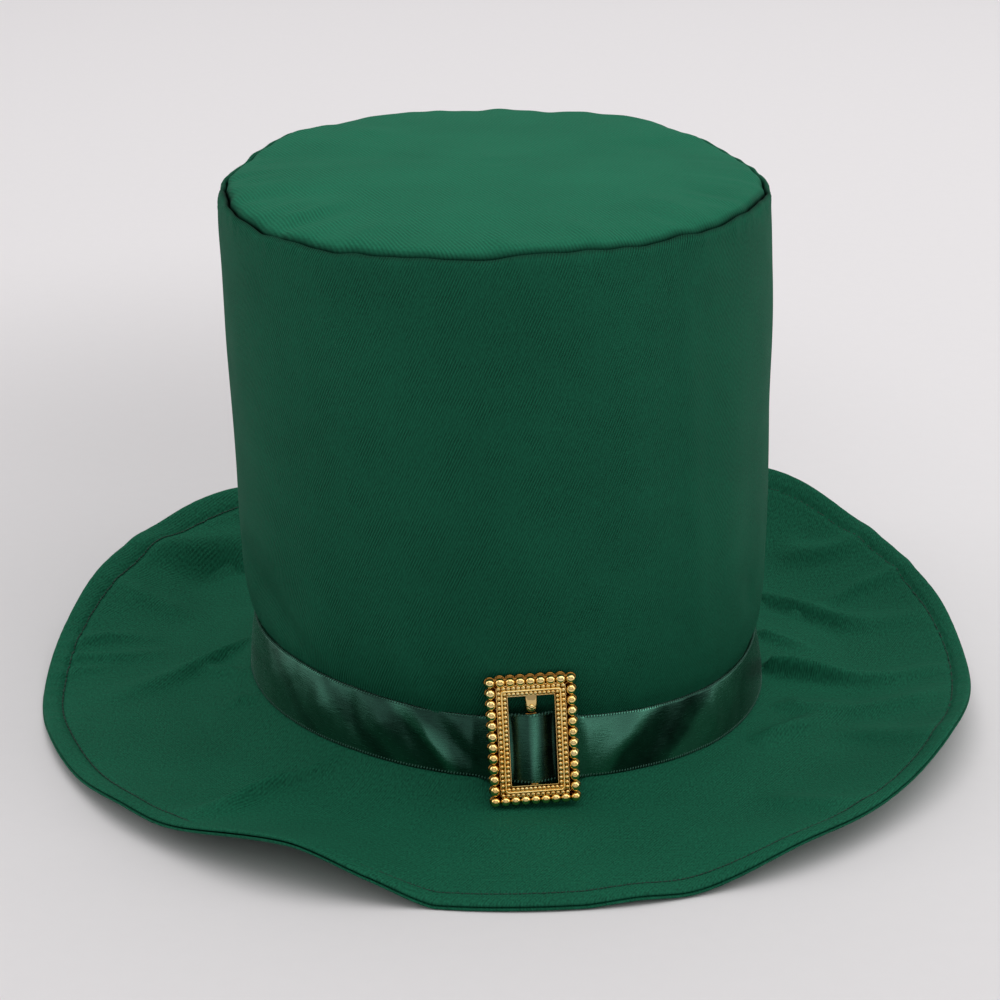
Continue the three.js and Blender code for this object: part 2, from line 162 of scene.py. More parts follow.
# The crown's side: angle, height, move, half width along a line
CROWN_CREASES = (
    ((-116, 66, 0, 9), (-112.5, 55, 0.5, 6), (-108.6, 41, 0.9, 4.5), (-105, 31, 0.7, 3.5)),
    ((-166, 66, 0, 8), (-157, 52, -1.2, 9), (-146, 44, -1.4, 8), (-136, 36, -0.5, 6), (-130, 32, 0, 5)),
    ((-119, 168, 0, 9), (-119, 148, 0.3, 8), (-120, 130, 0.35, 8), (-123, 108, 0, 9)),
    ((-50, 172, 0, 5), (-49, 140, 0.35, 5), (-48, 100, 0.45, 5), (-46, 66, 0.4, 6), (-42, 40, 0, 6)),
    ((-84, 120, 0, 14), (-80, 104, -0.3, 13), (-72, 90, 0, 14)),
    ((-26, 70, 0, 7), (-24, 56, -0.7, 6), (-20, 44, 0, 5)),
    ((20, 60, 0, 7), (26, 48, 0.8, 5), (30, 36, 0.4, 4)),
    ((66, 150, 0, 12), (64, 120, 0.7, 10), (60, 84, 0, 12)),
    ((114, 64, 0, 7), (110, 50, 1, 5), (104, 36, 0.4, 4)),
    ((140, 150, 0, 12), (146, 118, -0.7, 11), (150, 80, 0, 12)),
    ((160, 60, 0, 6), (164, 46, 0.8, 5), (170, 36, 0.3, 4)),
)

# The tip's on the plan: x, y, height, half width along a line
TIP_CREASES = (
    ((-86, -30, 0, 6), (-72, -27, -1, 7), (-54, -30, -0.5, 8), (-40, -30, 0, 8)),
    ((-72, -60, 0, 3), (-64, -56, -1.6, 3), (-54, -49, -1.2, 5), (-42, -40, -0.4, 8), (-34, -30, 0, 8)),
    ((-70, -50, 0, 3), (-61, -48, 1, 3), (-50, -41, 0.5, 4), (-42, -36, 0, 5)),
    ((-44, -76, 0, 4), (-40, -68, 0.7, 4), (-34, -58, 0, 6)),
    ((-10, -86, 0, 5), (-6, -74, -0.5, 6), (-4, -60, 0, 8)),
    ((34, -84, 0, 4), (30, -74, 0.6, 5), (24, -62, 0, 7)),
    ((68, -54, 0, 5), (57, -45, 0.7, 6), (44, -34, 0, 8)),
    ((80, -34, 0, 4), (70, -28, -0.7, 5), (58, -20, 0, 7)),
    ((70, 40, 0, 6), (56, 32, -0.8, 7), (40, 24, 0, 8)),
    ((-56, 60, 0, 6), (-44, 46, 0.8, 7), (-30, 34, 0, 8)),
    ((-30, -10, 0, 20), (0, 0, 0.6, 24), (30, 8, 0, 20)),
)

# Ripples of the satin: angle, share of the width up, rise, half width in millimetres
SATIN_CREASES = (
    ((-158, 1.1, 0.2, 5), (-152, 0.5, 0.5, 6), (-149, -0.1, 0.2, 5)),
    ((-143, 1, -0.5, 2.5), (-142, 0.7, -0.3, 3)),
    ((-143.5, 0.5, -0.3, 3), (-143, 0.2, -0.5, 3)),
    ((-134, 1.1, 0.5, 4), (-133, 0.5, 0.9, 4), (-131, -0.1, 0.3, 4)),
    ((-124.8, 1.1, -0.9, 2.2), (-124.2, 0.5, -1, 2.2), (-123, -0.1, -0.6, 2.4)),
    ((-119.5, 1, 0.4, 4), (-117, 0.6, 0.8, 3.6), (-115, 0.2, 0.2, 4)),
    ((-112.5, 0.9, -0.5, 2.6), (-110, 0.5, -0.8, 2.6), (-107, 0.1, -0.5, 2.8)),
    ((-109.4, 1.05, 0.9, 2), (-106.3, 0.55, 1.1, 1.9), (-103, 0.2, 1, 2.4), (-99.5, -0.05, 0.6, 3)),
    ((-104.5, 0.95, -0.7, 3), (-101, 0.55, -0.8, 3), (-97.5, 0.25, -0.4, 3)),
    ((-78, 0.9, 0.4, 4), (-76, 0.1, 0.8, 4)),
    ((-60, 1.05, 0.9, 4), (-64, 0.6, 1.2, 4.4), (-70, 0, 0.6, 4)),
    ((-52, 1.05, -0.5, 4), (-56, 0.5, -0.9, 4.4), (-61, 0, -0.8, 4)),
    ((-46, 0.9, -0.6, 3), (-45.5, 0.1, -0.6, 3)),
    ((-40, 1.1, 0.9, 4), (-39, 0.4, 1.1, 4), (-41, -0.1, 0.4, 4)),
    ((-25, 1.1, -0.3, 3), (-28, 0.4, -0.4, 3), (-31, -0.1, -0.2, 3)),
    ((-10, 1, 0.3, 6), (-8, 0.4, 0.7, 6), (-12, 0, 0.3, 5)),
    ((8, 1, -0.7, 3.5), (12, 0.3, -0.7, 3.5)),
    ((24, 1, 0.9, 3), (29, 0.4, 0.9, 3), (34, 0, 0.5, 3)),
    ((48, 0.9, -0.6, 4), (46, 0.2, -0.7, 4)),
    ((63, 1.1, 0.7, 4), (60, 0.4, 1, 4), (62, 0, 0.4, 4)),
    ((77, 1, -0.7, 3), (80, 0.3, -0.5, 3)),
    ((104, 1, 0.8, 3), (101, 0.5, 0.8, 3), (97, 0, 0.5, 3)),
    ((122, 0.9, -0.8, 4), (126, 0.2, -0.6, 4)),
    ((142, 1, 0.7, 5), (139, 0.3, 0.9, 5)),
    ((162, 1, -0.5, 4), (166, 0.3, -0.8, 4)),
    ((176, 0.9, 0.4, 5), (172, 0.2, 0.8, 5)),
)

# The buckle, in its own axes: across, up, and out of its face
BEAD = 3.2
BEADS_ACROSS = 9
BEADS_UP = 12
SPAN_ACROSS = 26.3  # between the middles of the corner beads
SPAN_UP = 39.8
WINDOW_ACROSS = 15.2
WINDOW_UP = 30

# Where the buckle stands round the crown, and how it leans back and turns
BUCKLE_ANGLE = -84.9
BUCKLE_DISTANCE = 97.6
BUCKLE_HEIGHT = 25
BUCKLE_LEAN = 12
BUCKLE_TURN = 1.9

# The ribbon on it: how far out it lies on the bar and behind the sides, half the bar, where it
# goes behind the sides and leaves for the crown, and its edges on the bar
RIBBON_ON_BAR = 0.4
RIBBON_BEHIND = -1.5
RIBBON_BAR_HALF = 2.3
RIBBON_SIDE_HALF = 7.3
RIBBON_LEAVE = 21
RIBBON_BAR_LOW = -15
RIBBON_BAR_HIGH = 8.4

# Sewing and picot: pitch, and half sizes along, beside and out of the cloth
HEM = 7
STITCH_PITCH = 3.0
STITCH = (1.12, 0.26, 0.2)
NEEDLE_HOLE = (0.42, 0.36, 0.16)
PICOTS = 560

# Steps of the meshes, round and across
COLUMNS = 448
SIDE_ROWS = 116
TIP_ROWS = 46
BRIM_COLUMNS = 704
BRIM_ROW_SPAN = 76


def curve(at, value, slope, where):
    """A smooth curve through a table's values."""
    start = np.clip(np.searchsorted(at, where, side="right") - 1, 0, len(at) - 2)
    span = at[start + 1] - at[start]
    t = (where - at[start]) / span
    rise = value[start] + (value[start + 1] - value[start]) * t * t * (3 - 2 * t)
    return rise + t * (1 - t) ** 2 * span * slope[start] - t * t * (1 - t) * span * slope[start + 1]


def around(table, column, angles):
    """Smooth value of one column of a table whose rows go once round the hat."""
    at, value = table["angle"], table[column]
    at = np.concatenate([at[-2:] - 360, at, at[:3] + 360])
    value = np.concatenate([value[-2:], value, value[:3]])
    slope = np.zeros(len(at))
    slope[1:-1] = (value[2:] - value[:-2]) / (at[2:] - at[:-2])
    return curve(at, value, slope, (np.asarray(angles, float) + 180) % 360 - 180)


def bump(distance, half):
    """1 in the middle, falling smoothly to 0 at half and beyond."""
    share = np.minimum(1, np.abs(distance) / half)
    return (1 - share * share) ** 2


def smooth(value, low, high):
    """A soft step from 0 at low to 1 at high."""
    t = np.clip((value - low) / (high - low), 0, 1)
    return t * t * (3 - 2 * t)


def hill(distance, width):
    return np.exp(-(distance / width) ** 2)


def apart(first, second):
    """Difference of two angles, -180 to 180."""
    return (first - second + 540) % 360 - 180


def creased(x, y, creases):
    """Height of ridges and troughs at points of a flat map.

    A row is x, y, height and half width; a fifth number is the half width on the line's right.
    """
    total = np.zeros(np.shape(x))
    for line in creases:
        nearest = np.full(np.shape(x), 1e9)
        rise = np.zeros(np.shape(x))
        for first, second in zip(line, line[1:]):
            x0, y0, h0, left0 = first[:4]
            x1, y1, h1, left1 = second[:4]
            right0, right1 = first[-1], second[-1]
            dx, dy = x1 - x0, y1 - y0
            t = np.clip(((x - x0) * dx + (y - y0) * dy) / (dx * dx + dy * dy), 0, 1)
            aside_x, aside_y = x - x0 - t * dx, y - y0 - t * dy
            left = left0 + (left1 - left0) * t
            right = right0 + (right1 - right0) * t
            half = np.where(dx * aside_y - dy * aside_x > 0, left, right)
            away = np.hypot(aside_x, aside_y) / half
            height = (h0 + (h1 - h0) * t) * np.exp(-away * away)
            closer = away < nearest
            rise = np.where(closer, height, rise)
            nearest = np.where(closer, away, nearest)
        total += rise
    return total


def to_cloth(creases, across, up=1):
    """Crease rows with their places turned into millimetres on the cloth."""
    return [[(a * across, b * up, *rest) for a, b, *rest in line] for line in creases]


def ripple(angle, counts):
    """An uneven wave round the hat, about -1 to 1, that closes on itself."""
    turns = np.radians(angle)
    phases = random.uniform(0, 2 * math.pi, len(counts))
    parts = [np.sin(count * turns + phase) for count, phase in zip(counts, phases)]
    return np.sum(parts, axis=0) / math.sqrt(len(counts))


def along_profile(table, steps):
    """Points spread along a profile's rows, rounded between them."""
    height, radius = table["height"], table["radius"]
    run = np.concatenate([[0], np.cumsum(np.hypot(np.diff(height), np.diff(radius)))])
    at = np.linspace(0, run[-1], steps)
    return [curve(run, value, np.gradient(value, run), at) for value in (height, radius)]


def circle(angle, radius):
    return radius * np.cos(np.radians(angle)), radius * np.sin(np.radians(angle))


def on_plan(angle, radius):
    x, y = circle(angle, radius)
    return AXIS_AT_TABLE + x, y


def axis_at(height):
    return AXIS_AT_TABLE + LEAN * height


def wave_at(angle, height):
    """The wander of the crown's cloth, shared out between the seams above and below."""
    foot, ribbon, tip = (around(SEAM_WAVES, seam, angle) for seam in ("foot", "ribbon", "tip"))
    low = foot + (ribbon - foot) * (height - CROWN_FOOT) / RIBBON_HEIGHT
    share = np.minimum(1, (height - RIBBON_TOP) / (SHOULDER - RIBBON_TOP))
    return np.where(height < RIBBON_TOP, low, ribbon + (tip - ribbon) * share)


def dent_at(angle, height):
    """How far broad dents and swells move the crown's side."""
    move = np.zeros(np.broadcast(angle, height).shape)
    for middle, level, half_angle, half_height, depth in CROWN_DENTS:
        beside = bump(apart(angle, middle), half_angle)
        move = move + depth * beside * bump(height - level, half_height)
    return move


def crown_points(angle, radius, height, follow=1, move=0):
    """Points of the crown; follow says how much of the cloth's wander they take up."""
    x, y = circle(angle, radius + dent_at(angle, height) + move)
    return np.stack([axis_at(height) + x, y, height + follow * wave_at(angle, height)], -1)


def buckle_axes():
    """The buckle's three axes, across, up and out, and its place."""
    angle = math.radians(BUCKLE_ANGLE)
    out = Vector((math.cos(angle), math.sin(angle), 0))
    across = Vector((-math.sin(angle), math.cos(angle), 0))
    place = out * BUCKLE_DISTANCE
    place.x += axis_at(BUCKLE_HEIGHT)
    place.z = BUCKLE_HEIGHT
    up = Vector((0, 0, 1))
    lean = Matrix.Rotation(math.radians(-BUCKLE_LEAN), 3, across)
    out, up = lean @ out, lean @ up
    turn = Matrix.Rotation(math.radians(BUCKLE_TURN), 3, out)
    across, up = turn @ across, turn @ up
    return np.array([across, up, out]), np.array(place)


AXES, PLACE = buckle_axes()


def on_buckle(across, up, out):
    return np.stack([across, up, out], -1) @ AXES + PLACE


def new_object(name, data):
    made = bpy.data.objects.new(name, data)
    bpy.context.scene.collection.objects.link(made)
    return made


def mesh_object(name, points, faces, material, map_at=None, painted_shade=None):
    """A mesh in metres from points in millimetres.

    map_at gives a place on the cloth per corner, and the last argument how much painted shade of a
    seam's groove each point takes, 0 to 1.
    """
    mesh = bpy.data.meshes.new(name)
    mesh.from_pydata((np.asarray(points) * MM).tolist(), [], faces)
    if map_at is not None:
        layer = mesh.uv_layers.new(name="cloth")
        layer.data.foreach_set("uv", (np.asarray(map_at) * MM).ravel())
    if painted_shade is not None:
        depths = mesh.attributes.new(SEAM_SHADE, "FLOAT", "POINT")
        depths.data.foreach_set("value", np.ravel(painted_shade))
    mesh.validate()
    mesh.update()
    mesh.polygons.foreach_set("use_smooth", [True] * len(mesh.polygons))
    mesh.materials.append(material)
    return new_object(name, mesh)


def ring_faces(count, size, steps, start=0):
    """Quads between closed rings of points; with as many steps as rings, back to the first."""
    ring, column = np.meshgrid(np.arange(steps), np.arange(size), indexing="ij")
    above, beside = (ring + 1) % count, (column + 1) % size
    corners = [ring * size + column, ring * size + beside,
               above * size + beside, above * size + column]
    return (np.stack(corners, -1).reshape(-1, 4) + start).tolist()


def wall(name, rings, material, cloth_map, caps=None, painted_shade=None):
    """A closed wall: rings along one face and back along the other. With caps, a closed disc."""
    count, size = rings.shape[:2]
    steps = count if caps is None else count - 1
    faces = ring_faces(count, size, steps)
    ring, column = np.meshgrid(np.arange(steps), np.arange(size), indexing="ij")
    last = [(ring, column), (ring, column + 1), (ring + 1, column + 1), (ring + 1, column)]
    where = np.stack([cloth_map(np.minimum(r, count - 1), c) for r, c in last], -2).reshape(-1, 2)
    points = rings.reshape(-1, 3)
    if caps is not None:
        low, high = len(points), len(points) + 1
        points = np.concatenate([points, caps])
        painted_shade = np.append(painted_shade, [0, 0])
        top = (count - 1) * size
        for c in range(size):
            n = (c + 1) % size
            faces.append([low, n, c])
            faces.append([high, top + c, top + n])
        ends = [cloth_map(np.array([0, 0, 0, count - 1, count - 1, count - 1]),
                          np.array([c, c + 1, c, c, c, c + 1])) for c in range(size)]
        where = np.concatenate([where, np.concatenate(ends)])
    return mesh_object(name, points, faces, material, where, painted_shade)


class Nodes:
    """A short way to write a material's nodes."""

    def __init__(self, name):
        self.material = bpy.data.materials.new(name)
        self.material.use_nodes = True
        self.tree = self.material.node_tree
        self.shader = self.tree.nodes["Principled BSDF"]

    def add(self, kind, outlet=0, settings=(), **inputs):
        node = self.tree.nodes.new("ShaderNode" + kind)
        for key, value in dict(settings).items():
            setattr(node, key, value)
        for key, value in inputs.items():
            socket = node.inputs[int(key[1:])] if key[1:].isdigit() else node.inputs[key]
            self.put(socket, value)
        return node.outputs[outlet]

    def put(self, socket, value):
        if isinstance(value, bpy.types.NodeSocket):
            self.tree.links.new(value, socket)
        else:
            socket.default_value = value

    def math(self, operation, first, second=0.0):
        return self.add("Math", settings={"operation": operation}, _0=first, _1=second)

    def minus(self, first, second):
        return self.math("SUBTRACT", first, second)

    def plus(self, first, second):
        return self.math("ADD", first, second)

    def times(self, first, second):
        return self.math("MULTIPLY", first, second)

    def ramp(self, value, low, high, out_low=0.0, out_high=1.0):
        return self.add("MapRange", _0=value, _1=low, _2=high, _3=out_low, _4=out_high)

    def stretched(self, across, across_scale, up, up_scale):
        x, y = self.times(across, across_scale), self.times(up, up_scale)
        return self.add("CombineXYZ", _0=x, _1=y)

    def mix(self, share, *tones):
        node = self.tree.nodes.new("ShaderNodeMix")
        node.data_type = "RGBA"
        self.put(node.inputs[0], share)
        for socket, tone in zip(node.inputs[6:8], tones):
            self.put(socket, tone if isinstance(tone, bpy.types.NodeSocket) else (*tone, 1.0))
        return node.outputs[2]

    def noise(self, at, scale, detail=2.0, roughness=0.5):
        return self.add("TexNoise", Vector=at, Scale=scale, Detail=detail, Roughness=roughness)

    def set(self, **values):
        for key, value in values.items():
            self.put(self.shader.inputs[key.replace("_", " ")], value)

    def bumped(self, height, strength, distance):
        made = self.add("Bump", Strength=strength, Distance=distance, Height=height)
        self.put(self.shader.inputs["Normal"], made)


TWILL_DARK = (0.006, 0.071, 0.038)
TWILL_LIGHT = (0.0195, 0.216, 0.115)
TWILL_PAINTED_SEAM_SHADE = (0.001, 0.009, 0.005)
SATIN_PAINTED_SHADE_TONE = (0.012, 0.034, 0.026)
SATIN_PAINTED_SHEEN_TONE = (0.095, 0.31, 0.215)
GOLD_PAINTED_SHADE = (0.34, 0.165, 0.035)
GOLD_BRIGHT = ((1.0, 0.67, 0.22), (1.0, 0.8, 0.38))
FLOOR_TONE = (0.8, 0.78, 0.785)
SEAM_SHADE = "seam_shade"


def twill(name, lean, pitch, painted_shade, contrast, grain, on_map=True):
    """Polyester twill with diagonal ribs.

    lean is the ribs' angle on the cloth and pitch their distance in millimetres; the shade factor scales
    its colours as painted light and shade, so one twill looks lighter on the tip and darker on the
    crown's side and the brim; contrast and grain say how strongly the ribs and the specks show.
    """
    n = Nodes(name)
    if on_map:
        at = n.add("UVMap", settings={"uv_map": "cloth"})
    else:
        at = n.add("TexCoord", outlet=3)
    split = n.add("SeparateXYZ", _0=at).node
    across, up = split.outputs[0], split.outputs[1]
    c, s = math.cos(math.radians(lean)), math.sin(math.radians(lean))
    over = n.minus(n.times(across, s), n.times(up, c))
    down = n.plus(n.times(across, c), n.times(up, s))
    wander = n.noise(at, 120.0, 3.0)
    turns = 2 * math.pi / (pitch * MM)
    phase = n.plus(n.times(over, turns), n.times(wander, 2.6))
    rib = n.math("SINE", phase)
    step = n.math("SINE", n.plus(n.times(down, turns * 0.8), phase))
    yarn_at = n.stretched(over, 900.0, down, 330.0)
    yarn = n.ramp(n.noise(yarn_at, 1.0, 2.0), 0.25, 0.75, -1.0, 1.0)
    cloud = n.ramp(n.noise(at, 30.0, 2.0), 0.25, 0.75, -1.0, 1.0)
    shown = n.ramp(n.noise(at, 110.0, 2.0), 0.35, 0.65, 0.35, 1.0)
    height = n.times(rib, shown)
    height = n.plus(height, n.times(step, 0.15))
    height = n.plus(height, n.times(yarn, 0.22))
    grain_at = n.stretched(across, 1300.0, up, 900.0)
    speck = n.ramp(n.noise(grain_at, 1.0, 2.0), 0.3, 0.7, -grain, grain)
    height = n.plus(n.times(height, contrast), speck)
    tone = n.plus(height, n.times(cloud, 0.07))
    low, high = ([part * painted_shade for part in base] for base in (TWILL_DARK, TWILL_LIGHT))
    cloth = n.mix(n.ramp(tone, -0.5, 0.5), low, high)
    # Painted shade: the cloth goes near-black where the seam_shade attribute marks the top seam's groove
    painted_seam_shade = n.add("Attribute", outlet=2, settings={"attribute_name": SEAM_SHADE})
    n.set(Base_Color=n.mix(painted_seam_shade, cloth, TWILL_PAINTED_SEAM_SHADE))
    n.set(Roughness=n.ramp(yarn, -1.0, 1.0, 0.66, 0.76), Sheen_Weight=0.012, Sheen_Roughness=0.4)
    n.set(Sheen_Tint=(0.4, 0.85, 0.7, 1.0), Specular_IOR_Level=0.055)
    n.bumped(height, 0.8, 0.00032)
    return n.material


# Painted sheen of the satin from place to place: angle round the crown, 0 dark to 1 bright
SATIN_PAINTED_SHEEN_MAP = (
    (-180, 0.8), (-160, 0.85), (-148, 0.65), (-143.5, 0.4), (-139, 0.6), (-128, 0.5), (-124, 0.2),
    (-119, 0.5), (-113, 0.25), (-109, 0.2), (-105, 0.8), (-101, 0.16), (-93, 0.2), (-88, 0.3),
    (-86, 0.18), (-84, 0.1), (-80.5, 0.1), (-77.5, 0.75), (-66, 0.95),
    (-62, 0.2), (-53, 0.1), (-49, 0.2), (-44.5, 0.95), (-34, 0.8), (-27, 0.5), (40, 0.3),
    (75, 0.7), (110, 0.3), (150, 0.6), (179.9, 0.8),
)

# Where the satin in the buckle's window has its painted highlight, a bright ridge, in turns from the
# buckle's middle
WINDOW_PAINTED_HIGHLIGHT = 0.0012


def satin(name):
    """Dark green satin ribbon, its face of fine lengthwise floats, with painted sheen and shade in
    patches round the band and a painted highlight in the buckle's window.
    """
    n = Nodes(name)
    at = n.add("UVMap", settings={"uv_map": "cloth"})
    split = n.add("SeparateXYZ", _0=at).node
    along, up = split.outputs[0], split.outputs[1]
    fine = n.noise(n.stretched(along, 300.0, up, 2600.0), 1.0, 2.0)
    cloud = n.noise(at, 90.0, 3.0)
    round_it = n.plus(n.math("DIVIDE", along, 360 * RIBBON_PER_DEGREE * MM), 0.5)
    from_buckle = n.minus(round_it, (BUCKLE_ANGLE + 180) / 360)
    side = n.minus(n.ramp(from_buckle, 0.03, 0.06), n.ramp(from_buckle, -0.03, -0.06))
    slant = n.times(n.minus(up, RIBBON_WIDTH / 2 * MM), side)
    round_it = n.minus(round_it, n.times(slant, 2.1))
    round_it = n.plus(round_it, n.ramp(cloud, 0.0, 1.0, -0.008, 0.008))
    painted_sheen = n.tree.nodes.new("ShaderNodeValToRGB")
    painted_sheen.color_ramp.interpolation = "EASE"
    stops = painted_sheen.color_ramp.elements
    for angle, amount in SATIN_PAINTED_SHEEN_MAP[1:-1]:
        stops.new((angle + 180) / 360).color = (amount, amount, amount, 1)
    for stop, (angle, amount) in ((stops[0], SATIN_PAINTED_SHEEN_MAP[0]), (stops[-1], SATIN_PAINTED_SHEEN_MAP[-1])):
        stop.color = (amount, amount, amount, 1)
    n.put(painted_sheen.inputs[0], round_it)
    from_painted_ridge = n.math("ABSOLUTE", n.minus(from_buckle, WINDOW_PAINTED_HIGHLIGHT))
    from_painted_ridge = n.plus(from_painted_ridge, n.ramp(cloud, 0.0, 1.0, -0.0008, 0.0008))
    painted_ridge = n.ramp(from_painted_ridge, 0.0008, 0.0042, 0.8, 0.0)
    shown = n.math("MAXIMUM", painted_sheen.outputs[0], painted_ridge)
    shown = n.plus(shown, n.ramp(fine, 0.2, 0.8, -0.08, 0.08))
    shown = n.plus(shown, n.ramp(cloud, 0.25, 0.75, -0.12, 0.12))
    shown = n.ramp(shown, 0.0, 1.0)
    # Painted sheen and shade: the satin's colour goes from dark to bright with the patches above and the
    # window's ridge
    n.set(Base_Color=n.mix(shown, SATIN_PAINTED_SHADE_TONE, SATIN_PAINTED_SHEEN_TONE))
    n.set(Metallic=0.95, Roughness=n.ramp(fine, 0.3, 0.7, 0.22, 0.28), Specular_IOR_Level=0.5)
    n.set(Sheen_Weight=0.1, Sheen_Roughness=0.3, Sheen_Tint=(0.7, 0.9, 0.85, 1.0))
    n.bumped(n.plus(fine, n.times(cloud, 2.5)), 0.4, 0.0001)
    return n.material


def gold(name):
    """Metallised plastic with a faintly uneven skin, and painted shade that makes it deeper in tone down
    between its beads.
    """
    n = Nodes(name)
    at = n.add("TexCoord", outlet=3)
    skin = n.noise(at, 700.0, 2.0)
    stain = n.noise(at, 120.0, 2.0)
    bright = n.mix(n.ramp(stain, 0.35, 0.7), *GOLD_BRIGHT)
    rise = n.add("VectorMath", outlet=1, settings={"operation": "DOT_PRODUCT"}, _0=at, _1=AXES[2])
    # Painted shade: the gold darkens the deeper it lies in the buckle, between the beads
    above = n.ramp(n.minus(rise, AXES[2] @ PLACE * MM), 1.5 * MM, 2.7 * MM)
    n.set(Base_Color=n.mix(above, GOLD_PAINTED_SHADE, bright))
    n.set(Metallic=1.0, Roughness=n.ramp(skin, 0.3, 0.7, 0.04, 0.08))
    n.bumped(skin, 0.12, 0.00015)
    return n.material


def thread(name, dark, light):
    """Thread with a fine twist."""
    n = Nodes(name)
    at = n.add("TexCoord", outlet=3)
    twist = n.noise(at, 2600.0, 2.0)
    n.set(Base_Color=n.mix(twist, dark, light), Roughness=0.6, Specular_IOR_Level=0.4)
    n.bumped(twist, 0.4, 0.0001)
    return n.material


def surface(name, tone, rough):
    """Matt paper with a painted shadow, a soft dark spot behind the hat's left, and painted light
    fall-off that makes it a little darker near the front.
    """
    n = Nodes(name)
    at = n.add("TexCoord", outlet=3)
    grain = n.noise(at, 160.0, 3.0)
    low, high = ([part * k for part in tone] for k in (0.93, 1.07))
    # Painted light: the paper is darker towards the front and lighter further back
    away = n.add("SeparateXYZ", _0=at).node.outputs[1]
    share = n.plus(n.ramp(away, -0.3, 1.3), n.ramp(grain, 0.3, 0.7, -0.03, 0.03))
    # Painted shadow: a soft dark spot on the floor behind the hat's left
    from_painted_shadow = n.add("VectorMath", outlet=1, settings={"operation": "DISTANCE"},
                      _0=at, _1=(-0.12, 0.24, 0))
    painted_shadow = n.add("MapRange", settings={"interpolation_type": "SMOOTHSTEP"},
                 _0=from_painted_shadow, _1=0.0, _2=0.36, _3=0.21, _4=0.0)
    n.set(Base_Color=n.mix(painted_shadow, n.mix(share, low, high), (0, 0, 0)), Roughness=rough)
    n.set(Specular_IOR_Level=0.2)
    return n.material


# Painted light and shade: the same twill is scaled lighter for the tip and darker for the crown's side
# and the brim's two faces
side_twill = twill("twill_side", lean=65, pitch=0.84, painted_shade=0.665, contrast=0.38, grain=0.12)
tip_twill = twill(
    "twill_tip", lean=116, pitch=1.15, painted_shade=0.95, contrast=0.2, grain=0.08, on_map=False)
brim_twill = twill(
    "twill_brim", lean=57, pitch=0.86, painted_shade=0.7, contrast=0.18, grain=0.26, on_map=False)
under_twill = twill(
    "twill_under", lean=123, pitch=0.86, painted_shade=0.71, contrast=0.18, grain=0.26, on_map=False)
satin_cloth = satin("satin_ribbon")
gold_skin = gold("gold_plastic")
dark_thread = thread("thread_dark", (0.004, 0.03, 0.017), (0.01, 0.055, 0.033))
# Painted shade: near-black marks stand in for the shade in the needle holes
painted_hole_shade = thread("needle_hole_shade", (0.002, 0.012, 0.007), (0.003, 0.018, 0.01))
edge_thread = thread("thread_edge", (0.014, 0.065, 0.043), (0.045, 0.16, 0.11))


# Crown side: a tube with an upright seam at the back
BACK_SEAM = 90
angles = np.linspace(-180, 180, COLUMNS, endpoint=False)
seam_in = 0.4 * ripple(angles, (7, 12, 19)) + 0.22 * ripple(angles, (37, 53))
seam_up = 0.45 * ripple(angles, (8, 13, 21)) + 0.15 * ripple(angles, (33, 47))
# The painted shade of the top seam's dark gap shows in front of the crown's two ends only
seam_shade_shown = smooth(-np.sin(np.radians(angles)), -0.15, 0.2)


def crown_move(angle, height):
    """Creases, fine unevenness and the pinched seam at the back."""
    level, turn = np.meshgrid(height, angle, indexing="ij")
    lines = to_cloth(CROWN_CREASES, SIDE_PER_DEGREE)
    move = 1.7 * creased(turn * SIDE_PER_DEGREE, level, lines)
    move += 0.12 * ripple(turn + 0.1 * level, (9, 14, 23)) * np.sin(level / 17)
    from_seam = apart(turn, BACK_SEAM) * SIDE_PER_DEGREE
    pucker = 1 + 0.25 * np.sin(level / 2.1) * np.sin(level / 7.3)
    move -= 0.8 * pucker * hill(from_seam, 0.9)
    move += 0.35 * pucker * hill(np.abs(from_seam) - 3.2, 2.2)
    at_top = hill(level - 183.5, 2.4)
    move += 0.12 * ripple(turn, (71, 97, 131)) * at_top
    tight = hill(level - 33.5, 3)
    return move + 0.15 * ripple(turn, (37, 53, 71)) * tight


def crown_side():
    height, radius = along_profile(SIDE_PROFILE, SIDE_ROWS)
    move = crown_move(angles, height)
    at_seam = smooth(height, 182.5, 186.5)[:, None]
    reach = radius[:, None] + at_seam * seam_in
    outside = crown_points(angles[None, :], reach, height[:, None], move=move)
    outside[..., 2] += at_seam * seam_up
    # The edge that is turned down inside the top seam: height, radius
    turned = np.array([[186.5, 91.2], [185.6, 90.9], [184.4, 91.2], [182.5, 91.8]])
    shoulder = crown_points(angles[None, :], turned[:, 1:2] + seam_in, turned[:, 0:1])
    shoulder[..., 2] += seam_up
    below = height[height < SHOULDER][::-3]
    inner = np.interp(below, SIDE_PROFILE["height"], SIDE_PROFILE["radius"]) - CROWN_WALL
    shift = np.array([np.interp(below, height, move[:, c]) for c in range(COLUMNS)]).T
    inside = crown_points(angles[None, :], inner[:, None], below[:, None], move=shift)
    rings = np.concatenate([outside, shoulder, inside])
    level = np.concatenate([height, turned[:, 0], below])
    step = 360 / COLUMNS * SIDE_PER_DEGREE

    def cloth_map(ring, column):
        return np.stack([column * step, level[ring]], -1)

    # Painted shade of the top seam, most on the side's edge turned down into it
    seam_shade_share = np.concatenate([0.6 * smooth(height, 186, 186.8), np.ones(len(turned)), 0 * below])
    return wall("crown_side_cloth", rings, side_twill, cloth_map, painted_shade=np.outer(seam_shade_share, seam_shade_shown))


